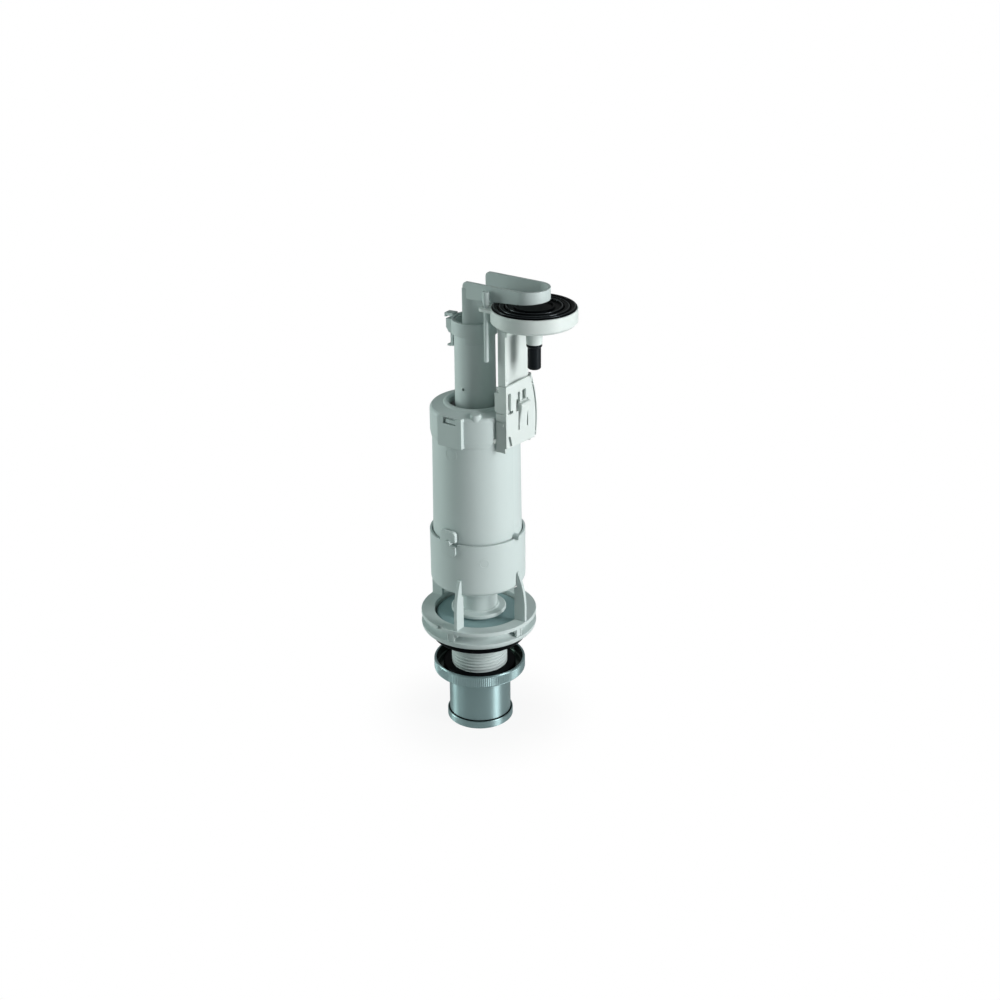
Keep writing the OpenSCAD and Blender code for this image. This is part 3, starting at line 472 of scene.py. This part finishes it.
@dataclass
class DiaphragmRings:
    """Fine raised rings on the rim, the fold and the crown of the rubber diaphragm."""

    centre_x: float = 57.0
    height: float = 0.55
    half_width: float = 0.45
    buried: float = 0.2
    facets: int = 6
    steps: int = 96
    rim_r: float = 31.6
    rim_sunk: float = 0.2
    fold_r: float = 26.9
    crown_r: float = 21.7
    crown_sunk: float = 0.25

    def ring(self, shop: Workshop, name: str, radius: float, top: float, body: str) -> None:
        """Spin one half-round ring.

        Args:
            shop: Gives the finish.
            name: Name of the piece.
            radius: Radius of the ring's middle.
            top: Height of the face that it stands on.
            body: Body that it rides on.
        """
        mesh = bmesh.new()
        arch = [(radius + self.half_width * math.cos(a), top + self.height * math.sin(a))
                for a in (math.pi * i / self.facets for i in range(self.facets + 1))]
        foot = top - self.buried
        turned(mesh, [(radius + self.half_width, foot), *arch, (radius - self.half_width, foot)], self.steps)
        bmesh.ops.translate(mesh, verts=mesh.verts[:], vec=(self.centre_x * MM, 0.0, 0.0))
        ridge = shop.piece(mesh, name, Slot.RUBBER, body, smooth=50.0)
        # the rings get the lighter, shinier rubber: painted highlight
        ridge.data.materials[0] = shop.ridge

    def build(self, shop: Workshop) -> None:
        """Lay one ring on each of the diaphragm's three parts.

        Args:
            shop: Gives the finish.
        """
        tops = {node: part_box(node)[1][2] / MM for node in ("diaphragm_rim", "diaphragm_fold", "diaphragm_crown")}
        self.ring(shop, "rim_ring_1", self.rim_r, tops["diaphragm_rim"] - self.rim_sunk, "actuator")
        self.ring(shop, "fold_ring_1", self.fold_r, tops["diaphragm_fold"], "fold")
        self.ring(shop, "crown_ring_1", self.crown_r, tops["diaphragm_crown"] - self.crown_sunk, "crown")


@dataclass
class MouldCircles:
    """Faint plain circles that the mould leaves on the body and the sleeve."""

    wire: float = 0.2
    facets: int = 8
    steps: int = 64
    body_place: tuple[float, float, float, float] = (-88.5, 177.4, 36.1, 5.2)  # angle, height, radius, ring_r
    sleeve_place: tuple[float, float, float, float] = (-47.0, 84.3, 39.9, 3.6)

    def circle(self, shop: Workshop, name: str, angle: float, height: float, radius: float, ring_r: float) -> None:
        """Wrap one thin ring round the wall that carries it.

        Args:
            shop: Gives the finish.
            name: Name of the piece.
            angle: Degrees round the axis.
            height: Height of its middle.
            radius: Radius of the wall there.
            ring_r: Radius of the ring itself.
        """
        mesh = bmesh.new()
        bmesh.ops.create_circle(mesh, segments=self.facets, radius=self.wire * MM)
        bmesh.ops.rotate(mesh, verts=mesh.verts[:], cent=CENTRE, matrix=Matrix.Rotation(math.pi / 2, 3, "X"))
        bmesh.ops.translate(mesh, verts=mesh.verts[:], vec=(ring_r * MM, 0.0, 0.0))
        bmesh.ops.spin(
            mesh, geom=mesh.edges[:], cent=CENTRE, axis=AXIS, angle=math.tau, steps=self.steps, use_merge=True,
        )
        turn = math.radians(angle)
        for vert in mesh.verts:
            across, up, out = vert.co
            swing, reach = turn + across / (radius * MM), radius * MM + out
            vert.co = (reach * math.cos(swing), reach * math.sin(swing), height * MM + up)
        bmesh.ops.recalc_face_normals(mesh, faces=mesh.faces[:])
        shop.piece(mesh, name, Slot.SHELL, "housing", smooth=60.0)

    def build(self, shop: Workshop) -> None:
        """Put one circle on the body and one on the sleeve.

        Args:
            shop: Gives the finish.
        """
        self.circle(shop, "body_circle", *self.body_place)
        self.circle(shop, "sleeve_circle", *self.sleeve_place)


@dataclass
class KnurledBand:
    """Fine straight knurl round the cup nut's band."""

    radius: float = 39.0
    proud: float = 0.3
    low: float = -32.5
    high: float = -24.2
    clear: float = 0.02
    buried: float = 0.2
    slope: float = 0.25
    ribs: int = 150

    def build(self, shop: Workshop) -> None:
        """Raise the knurl's ribs from a ring.

        Args:
            shop: Gives the finish.
        """
        mesh = bmesh.new()
        root = self.radius + self.clear
        ring = bmesh.ops.create_circle(mesh, segments=2 * self.ribs, radius=root * MM, cap_ends=False)
        bmesh.ops.translate(mesh, verts=ring["verts"], vec=(0.0, 0.0, self.low * MM))
        crests = ring["verts"][::2]
        grow = (self.radius + self.proud) / root
        bmesh.ops.scale(mesh, vec=(grow, grow, 1.0), verts=crests)
        foot = mesh.edges[:]
        wall = bmesh.ops.extrude_edge_only(mesh, edges=foot)
        top = [item for item in wall["geom"] if isinstance(item, bmesh.types.BMVert)]
        bmesh.ops.translate(mesh, verts=top, vec=(0.0, 0.0, (self.high - self.low) * MM))
        head = [edge for edge in mesh.edges if all(vert in top for vert in edge.verts)]
        for edges, shift in ((foot, -self.slope), (head, self.slope)):
            lid = bmesh.ops.extrude_edge_only(mesh, edges=edges)
            inner = [item for item in lid["geom"] if isinstance(item, bmesh.types.BMVert)]
            for vert in inner:
                vert.co.xy = vert.co.xy.normalized() * (self.radius - self.buried) * MM
                vert.co.z += shift * MM
        bmesh.ops.recalc_face_normals(mesh, faces=mesh.faces[:])
        shop.piece(mesh, "cup_knurl", Slot.PLATED, "nut", smooth=20.0)


@dataclass
class CupShadeLiner:
    """Dark plated liner inside the cup nut: painted shade over the cup's inside, which still mirrors the lamps."""

    wall_r: float = 37.4
    insert_r: float = 31.2
    top: float = -23.3
    floor: float = -32.2
    clear: float = 0.03
    skin: float = 0.3
    corner: float = 0.85
    inner_corner: float = 1.0
    below_rim: float = 0.5
    rim_edge: float = 0.2
    draft: float = 0.05
    off_insert: float = 0.2

    def build(self, shop: Workshop) -> None:
        """Turn the liner just clear of the cup's inside.

        Args:
            shop: Gives the finish.
        """
        mesh = bmesh.new()
        out, low, rim = self.wall_r - self.clear, self.floor + self.clear, self.top - self.below_rim
        end, thick = self.insert_r + self.off_insert, self.skin + self.draft
        turned(mesh, [
            (out, low + self.corner), (out, rim), (out - self.skin, rim - self.rim_edge),
            (out - thick, low + self.inner_corner), (out - self.inner_corner, low + thick),
            (end, low + self.skin), (end, low), (out - self.corner, low),
        ])
        liner = shop.piece(mesh, "cup_shade_liner", Slot.PLATED, "nut", smooth=30.0)
        # the liner's near-black finish is painted shade over the cup's inside
        liner.data.materials[0] = shop.inside


@dataclass
class BaseShell:
    """Base with a rounded lip, a deep neck under the fin ring, bayonet lugs, a bowl and a sealing edge."""

    flange_r: float = 49.0
    lip_r: float = 6.4
    neck_r: float = 41.0
    bowl_r: float = 37.8
    seat_r: float = 29.5
    bore_r: float = 20.5
    foot: float = 6.7
    top: float = 20.5
    bowl_z: float = 9.9
    seat_z: float = 17.9
    lug_r: float = 47.2
    lug_h: float = 2.8
    lug_span: float = 12.0
    lug_starts: tuple[float, ...] = (-89.0, -15.5, 91.0, 164.5)
    lug_root: float = 0.4
    seat_half: float = 1.5
    seat_edge: float = 0.8
    bowl_rise: float = 2.0
    bore_rise: float = 1.0
    lip_steps: int = 10
    lug_steps: int = 8
    saucer: tuple[tuple[float, float], ...] = (  # radius, and rise over the lip's middle
        (48.88, 0.25), (48.6, 0.35), (45.7, 0.66), (43.2, 1.5), (41.9, 2.5), (41.2, 3.7), (41.0, 5.2),
    )

    def outline(self) -> list[tuple[float, float]]:
        """Draw the base's half section.

        Returns:
            Radius and height of its corners, from the water way out and back.
        """
        lip_z = self.foot + self.lip_r
        lip = [(self.flange_r - self.lip_r * (1 - math.cos(a)), lip_z + self.lip_r * math.sin(a))
               for a in (math.pi / 2 * (i / self.lip_steps - 1) for i in range(self.lip_steps + 1))]
        saucer = [(radius, lip_z + rise) for radius, rise in self.saucer]
        bowl = [(self.neck_r, self.top), (self.bowl_r, self.top), (self.bowl_r, self.bowl_z)]
        out, into = self.seat_r + self.seat_half, self.seat_r - self.seat_half
        seat = [(out, self.bowl_z), (out, self.seat_z - self.seat_edge), (out - self.seat_edge, self.seat_z),
                (into + self.seat_edge, self.seat_z), (into, self.seat_z - self.seat_edge),
                (into, self.bowl_z + self.bowl_rise)]
        return [(self.bore_r, self.foot), *lip, *saucer, *bowl, *seat, (self.bore_r, self.foot + self.bore_rise)]

    def lug(self, mesh: bmesh.types.BMesh, start: float) -> None:
        """Add one lug that stands out from the neck.

        Args:
            mesh: The bmesh to add to.
            start: Degrees round the axis at its first end.
        """
        low, inner = self.top - self.lug_h, self.neck_r - self.lug_root
        block = bmesh.new()
        section = loop_of(block, [(inner, low), (self.lug_r, low), (self.lug_r, self.top), (inner, self.top)])
        bmesh.ops.spin(
            block, geom=section, cent=CENTRE, axis=AXIS, angle=math.radians(self.lug_span), steps=self.lug_steps,
            use_merge=False,
        )
        ends = [edge for edge in block.edges if len(edge.link_faces) == 1]
        bmesh.ops.holes_fill(block, edges=ends, sides=len(section))
        spot = Matrix.Rotation(math.radians(start), 3, "Z")
        bmesh.ops.rotate(block, verts=block.verts[:], cent=CENTRE, matrix=spot)
        bmesh.ops.recalc_face_normals(block, faces=block.faces[:])
        data = bpy.data.meshes.new("lug")
        block.to_mesh(data)
        block.free()
        mesh.from_mesh(data)
        bpy.data.meshes.remove(data)

    def build(self, shop: Workshop) -> None:
        """Turn the base and set the lugs on its neck.

        Args:
            shop: Gives the finish.
        """
        mesh = bmesh.new()
        turned(mesh, self.outline())
        for start in self.lug_starts:
            self.lug(mesh, start)
        base = shop.piece(mesh, "base_shell", Slot.SHELL, "seat", smooth=30.0)
        base.data.materials[0] = shop.materials[Slot.SHELL]
        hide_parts("base_seat")


@dataclass
class LatchTongue:
    """Root that joins the latch tongue to the clip's front wall, and the swell under its ledge."""

    left: float = 0.45
    right: float = 10.95
    ledge: float = 3.8
    gap: float = 0.3
    thick: float = 0.9
    proud: float = 0.02
    below: float = 1.2
    above: float = 2.4
    loops: int = 8
    swell_low: float = 5.0
    swell_high: float = 20.4
    swell_out: float = 2.8
    swell_round: float = 1.2
    swell_head: float = 2.0
    swell_inset: float = 0.2
    buried: float = 0.6

    def build(self, shop: Workshop) -> None:
        """Cut a slab into loops, set it on no body, and add the swell.

        Args:
            shop: Gives the finish.
        """
        low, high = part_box("height_latch")
        face, seam = high[0] / MM - self.ledge + self.proud, low[2] / MM - self.gap
        size = Vector((self.thick, self.right - self.left, self.below + self.above)) * MM
        middle = Vector((
            face - self.thick / 2, (self.left + self.right) / 2, seam + (self.above - self.below) / 2,
        )) * MM
        mesh = bmesh.new()
        bmesh.ops.create_cube(mesh, size=1.0, matrix=Matrix.Translation(middle) @ Matrix.Diagonal((*size, 1.0)))
        for i in range(1, self.loops):
            bmesh.ops.bisect_plane(
                mesh, geom=mesh.verts[:] + mesh.edges[:] + mesh.faces[:], dist=TOUCH,
                plane_co=(0.0, 0.0, middle.z + size.z * (i / self.loops - 0.5)), plane_no=AXIS,
            )
        bmesh.ops.recalc_face_normals(mesh, faces=mesh.faces[:])
        root = shop.piece(mesh, "latch_root", Slot.WHITE, "", smooth=40.0)
        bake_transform(root)
        self.swell(shop, face, seam)

    def swell(self, shop: Workshop, face: float, seam: float) -> None:
        """Thicken the tongue towards its finger ledge.

        Args:
            shop: Gives the finish.
            face: Where the clip's front face lies.
            seam: Height of the tongue's root.
        """
        mesh = bmesh.new()
        back, front, head = face - self.buried, face + self.swell_out, self.swell_high + self.swell_head
        corners = [(back, self.swell_low), (face + self.proud, self.swell_low), (front, self.swell_high),
                   (front, head), (back, head)]
        near = (self.left + self.swell_inset) * MM
        verts = [mesh.verts.new((x * MM, near, (seam + z) * MM)) for x, z in corners]
        side = mesh.faces.new(verts)
        wall = bmesh.ops.extrude_face_region(mesh, geom=[side])
        far = [item for item in wall["geom"] if isinstance(item, bmesh.types.BMVert)]
        bmesh.ops.translate(mesh, verts=far, vec=(0.0, (self.right - self.left - 2 * self.swell_inset) * MM, 0.0))
        bmesh.ops.recalc_face_normals(mesh, faces=mesh.faces[:])
        slopes = [edge for edge in mesh.edges
                  if all(vert.co.x > face * MM for vert in edge.verts)
                  and abs(edge.verts[0].co.y - edge.verts[1].co.y) < TOUCH]
        bmesh.ops.bevel(
            mesh, geom=slopes, offset=self.swell_round * MM, offset_type="OFFSET", segments=4, profile=0.5,
            affect="EDGES", material=-1,
        )
        shop.piece(mesh, "latch_swell", Slot.WHITE, "latch", smooth=40.0)


@dataclass
class GasketEdge:
    """Full moulded edge of the gasket that lies on the cistern floor."""

    radius: float = 40.0
    height: float = 6.7
    proud: float = 0.04
    depth: float = 2.2
    foot: float = 0.02
    foot_edge: float = 0.4
    head: float = 0.1
    head_edge: float = 0.5

    def build(self, shop: Workshop) -> None:
        """Turn the edge over the gasket's bevels.

        Args:
            shop: Gives the finish.
        """
        mesh = bmesh.new()
        out, top = self.radius + self.proud, self.height - self.head
        turned(mesh, [
            (out - self.depth, self.foot), (out - self.foot_edge, self.foot), (out, self.foot_edge),
            (out, top - self.head_edge), (out - self.head_edge, top), (out - self.depth, top),
        ])
        shop.piece(mesh, "gasket_edge", Slot.RUBBER, "seat", smooth=50.0)


def seen_ray(tree: bpy.types.NodeTree) -> bpy.types.NodeSocket:
    """Share of the white background on a ray: all of it for the eye, some of it in mirrors.

    Args:
        tree: Node tree to add to.

    Returns:
        The socket with the share.
    """
    path = tree.nodes.new("ShaderNodeLightPath")
    mirror, either, share = (tree.nodes.new("ShaderNodeMath") for _ in range(3))
    mirror.operation, either.operation, share.operation = "MULTIPLY", "MAXIMUM", "MAXIMUM"
    tree.links.new(path.outputs["Is Glossy Ray"], mirror.inputs[0])
    mirror.inputs[1].default_value = MIRRORED
    tree.links.new(path.outputs["Is Camera Ray"], either.inputs[0])
    tree.links.new(path.outputs["Is Transmission Ray"], either.inputs[1])
    tree.links.new(either.outputs[0], share.inputs[0])
    tree.links.new(mirror.outputs[0], share.inputs[1])
    return share.outputs[0]


@dataclass(frozen=True)
class SoftBox:
    """One soft box: its place round the valve in degrees and metres, its size in metres, its watts and its tint."""

    name: str
    azimuth: float
    elevation: float
    away: float
    size: tuple[float, float]
    power: float
    tint: Colour = (1.0, 1.0, 1.0)


@dataclass
class Studio:
    """Pale floor, soft lights and the camera at the photograph's angle, in millimetres unless a line says metres."""

    floor_z: float = -80.8
    floor_r: float = 3000.0
    floor_dark: Colour = (0.60, 0.61, 0.61)
    floor_light: Colour = (0.62, 0.63, 0.63)
    floor_scale: float = 3.0
    floor_steps: int = 96
    floor_rough: float = 0.9
    floor_shine: float = 0.1
    shadow_r: float = 30.0
    fade_r: float = 110.0
    shadow: float = 0.09
    azimuth: float = 35.0
    elevation: float = 24.5
    distance: float = 1424.0
    focal_px: float = 1715.0
    sensor: float = 36.0
    picture_px: float = 1000.0
    clip_end: float = 20.0  # metres
    target: tuple[float, float, float] = (15.48, 10.84, 123.7)
    roll: float = -0.54
    soft: Colour = (0.082, 0.103, 0.099)
    aim: tuple[float, float, float] = (0.01, 0.0, 0.12)  # metres
    boxes: tuple[SoftBox, ...] = (
        SoftBox("key_box", azimuth=96.0, elevation=14.0, away=1.2, size=(0.40, 1.0), power=14.8),
        SoftBox(
            "edge_box", azimuth=-66.0, elevation=12.0, away=1.3, size=(0.35, 1.0), power=9.4, tint=(0.90, 1.0, 0.96),
        ),
        SoftBox(
            "fill_box", azimuth=-34.0, elevation=12.0, away=1.3, size=(0.35, 1.0), power=1.0, tint=(0.90, 1.0, 0.98),
        ),
        SoftBox("top_box", azimuth=60.0, elevation=75.0, away=1.4, size=(0.8, 0.8), power=0.5),
    )

    def toward(self, azimuth: float, elevation: float) -> Vector:
        """Unit vector from the target to a place round it.

        Args:
            azimuth: Degrees round the valve, 0 in front along -Y, towards +X.
            elevation: Degrees over the horizon.

        Returns:
            The direction.
        """
        a, e = math.radians(azimuth), math.radians(elevation)
        return Vector((math.sin(a) * math.cos(e), -math.cos(a) * math.cos(e), math.sin(e)))

    def floor(self) -> None:
        """Lay a pale floor that keeps the valve's shadow and fades into the white round it."""
        mesh = bmesh.new()
        bmesh.ops.create_circle(mesh, segments=self.floor_steps, radius=self.floor_r * MM, cap_ends=True)
        bmesh.ops.translate(mesh, verts=mesh.verts[:], vec=(0.0, 0.0, self.floor_z * MM))
        data = bpy.data.meshes.new("floor")
        mesh.to_mesh(data)
        mesh.free()
        obj = bpy.data.objects.new("floor", data)
        bpy.context.scene.collection.objects.link(obj)
        sheet = NodeSheet("pale_floor")
        sheet.two_tone(sheet.noise(self.floor_scale, detail=2.0), self.floor_dark, self.floor_light)
        sheet.shader.inputs["Roughness"].default_value = self.floor_rough
        sheet.shader.inputs["Specular IOR Level"].default_value = self.floor_shine
        centred = sheet.add("ShaderNodeMapping")
        centred.inputs["Scale"].default_value = (1.0, 1.0, 0.0)
        sheet.link(sheet.coords, "Object", centred, "Vector")
        reach = sheet.add("ShaderNodeVectorMath")
        reach.operation = "LENGTH"
        sheet.link(centred, "Vector", reach, "Vector")
        fade = sheet.add("ShaderNodeMapRange")
        fade.interpolation_type = "SMOOTHSTEP"
        fade.inputs["From Min"].default_value = self.shadow_r * MM
        fade.inputs["From Max"].default_value = self.fade_r * MM
        fade.inputs["To Min"].default_value = self.shadow
        fade.inputs["To Max"].default_value = 0.0
        sheet.link(reach, "Value", fade, "Value")
        white = sheet.add("ShaderNodeEmission")
        white.inputs["Color"].default_value = (1.0, 1.0, 1.0, 1.0)
        white.inputs["Strength"].default_value = 1.0
        faded = sheet.add("ShaderNodeMixShader")
        sheet.link(fade, "Result", faded, "Fac")
        sheet.tree.links.new(white.outputs[0], faded.inputs[1])
        sheet.tree.links.new(sheet.shader.outputs[0], faded.inputs[2])
        seen = seen_ray(sheet.tree)
        mix = sheet.add("ShaderNodeMixShader")
        sheet.tree.links.new(seen, mix.inputs[0])
        sheet.tree.links.new(sheet.shader.outputs[0], mix.inputs[1])
        sheet.tree.links.new(faded.outputs[0], mix.inputs[2])
        sheet.link(mix, "Shader", sheet.output, "Surface")
        data.materials.append(sheet.material)

    def sky(self) -> None:
        """White to the camera, a share of that white in mirrors, and a soft grey for the rest."""
        world = bpy.data.worlds.new("studio")
        bpy.context.scene.world = world
        world.use_nodes = True
        tree = world.node_tree
        tree.nodes.clear()
        out = tree.nodes.new("ShaderNodeOutputWorld")
        seen, soft = tree.nodes.new("ShaderNodeBackground"), tree.nodes.new("ShaderNodeBackground")
        seen.inputs["Color"].default_value = (1.0, 1.0, 1.0, 1.0)
        soft.inputs["Color"].default_value = (*self.soft, 1.0)
        mix = tree.nodes.new("ShaderNodeMixShader")
        tree.links.new(seen_ray(tree), mix.inputs[0])
        tree.links.new(soft.outputs[0], mix.inputs[1])
        tree.links.new(seen.outputs[0], mix.inputs[2])
        tree.links.new(mix.outputs[0], out.inputs["Surface"])

    def lamp(self, box: SoftBox) -> None:
        """Hang one soft box that faces the valve.

        Args:
            box: The soft box.
        """
        light = bpy.data.lights.new(box.name, "AREA")
        light.color = box.tint
        light.shape = "RECTANGLE"
        light.size, light.size_y = box.size
        light.energy = box.power
        obj = bpy.data.objects.new(box.name, light)
        way = self.toward(box.azimuth, box.elevation)
        obj.location = Vector(self.aim) + way * box.away
        obj.rotation_euler = (-way).to_track_quat("-Z", "Y").to_euler()
        bpy.context.scene.collection.objects.link(obj)

    def camera(self) -> None:
        """Set the camera at the photograph's viewing angle."""
        data = bpy.data.cameras.new("camera")
        data.sensor_width = self.sensor
        data.lens = self.focal_px * self.sensor / self.picture_px
        data.clip_end = self.clip_end
        obj = bpy.data.objects.new("camera", data)
        way = self.toward(self.azimuth, self.elevation)
        obj.location = (Vector(self.target) + way * self.distance) * MM
        turn = (-way).to_track_quat("-Z", "Y") @ Quaternion((0.0, 0.0, 1.0), math.radians(self.roll))
        obj.rotation_euler = turn.to_euler()
        bpy.context.scene.collection.objects.link(obj)
        bpy.context.scene.camera = obj

    def build(self) -> None:
        """Set up the whole studio."""
        self.floor()
        self.sky()
        for box in self.boxes:
            self.lamp(box)
        self.camera()
        bpy.context.scene.view_settings.view_transform = "Standard"


def main() -> None:
    """Dress the frame, add the detail pieces and set up the studio."""
    logging.basicConfig(level=logging.INFO, format="%(name)s: %(message)s")
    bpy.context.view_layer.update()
    shop = Workshop()
    shop.dress_frame()
    details = (
        SpigotThread(), BaseShell(), LatchTongue(), GasketEdge(), KnurledBand(), CupShadeLiner(), DiaphragmRings(),
        MouldCircles(),
    )
    for detail in details:
        detail.build(shop)
    Studio().build()


if __name__ == "__main__":
    main()
